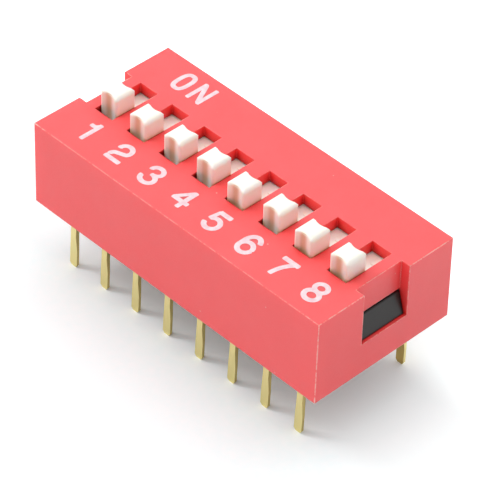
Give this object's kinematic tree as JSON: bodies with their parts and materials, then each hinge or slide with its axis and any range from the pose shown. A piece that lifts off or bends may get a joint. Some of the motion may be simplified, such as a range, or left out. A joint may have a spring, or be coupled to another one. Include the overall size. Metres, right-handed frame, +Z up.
{
  "type": "dip switch",
  "caption": "Slide-type DIP switch: a red cover snapped over a black base, ivory sliders in slots along the top, and two rows of flat gold-coloured solder pins.",
  "frame": {"origin": "centre of the cover's foot, which seats on the board", "axes": "+X runs along the body from position 1 to position 8, +Y across it from the OFF side to the ON side, +Z up away from the board"},
  "size_m": [0.0218, 0.01, 0.0107],
  "materials": {
    "cover": "moulded red PBT, fine satin",
    "base": "moulded black PBT, satin",
    "slider": "moulded ivory acetal, satin",
    "contact": "gold-plated spring bronze",
    "terminal": "thin pale gold plating on brass strip"
  },
  "bodies": {
    "housing": {"cover": "cover", "base": "base", "terminal_front_1": "terminal", "terminal_front_2": "terminal", "terminal_front_3": "terminal", "terminal_front_4": "terminal", "terminal_front_5": "terminal", "terminal_front_6": "terminal", "terminal_front_7": "terminal", "terminal_front_8": "terminal", "terminal_rear_1": "terminal", "terminal_rear_2": "terminal", "terminal_rear_3": "terminal", "terminal_rear_4": "terminal", "terminal_rear_5": "terminal", "terminal_rear_6": "terminal", "terminal_rear_7": "terminal", "terminal_rear_8": "terminal"},
    "slider_1": {"actuator_1": "slider", "contact_1": "contact"},
    "slider_2": {"actuator_2": "slider", "contact_2": "contact"},
    "slider_3": {"actuator_3": "slider", "contact_3": "contact"},
    "slider_4": {"actuator_4": "slider", "contact_4": "contact"},
    "slider_5": {"actuator_5": "slider", "contact_5": "contact"},
    "slider_6": {"actuator_6": "slider", "contact_6": "contact"},
    "slider_7": {"actuator_7": "slider", "contact_7": "contact"},
    "slider_8": {"actuator_8": "slider", "contact_8": "contact"}
  },
  "joints": [
    {"name": "slide_1", "type": "slide", "parent": "housing", "child": "slider_1", "axis": [0, 1, 0], "range_m": [0, 0.00148]},
    {"name": "slide_2", "type": "slide", "parent": "housing", "child": "slider_2", "axis": [0, 1, 0], "range_m": [0, 0.00168]},
    {"name": "slide_3", "type": "slide", "parent": "housing", "child": "slider_3", "axis": [0, 1, 0], "range_m": [0, 0.00153]},
    {"name": "slide_4", "type": "slide", "parent": "housing", "child": "slider_4", "axis": [0, 1, 0], "range_m": [0, 0.00153]},
    {"name": "slide_5", "type": "slide", "parent": "housing", "child": "slider_5", "axis": [0, 1, 0], "range_m": [0, 0.00173]},
    {"name": "slide_6", "type": "slide", "parent": "housing", "child": "slider_6", "axis": [0, 1, 0], "range_m": [0, 0.00158]},
    {"name": "slide_7", "type": "slide", "parent": "housing", "child": "slider_7", "axis": [0, 1, 0], "range_m": [0, 0.00178]},
    {"name": "slide_8", "type": "slide", "parent": "housing", "child": "slider_8", "axis": [0, 1, 0], "range_m": [0, 0.00173]}
  ]
}
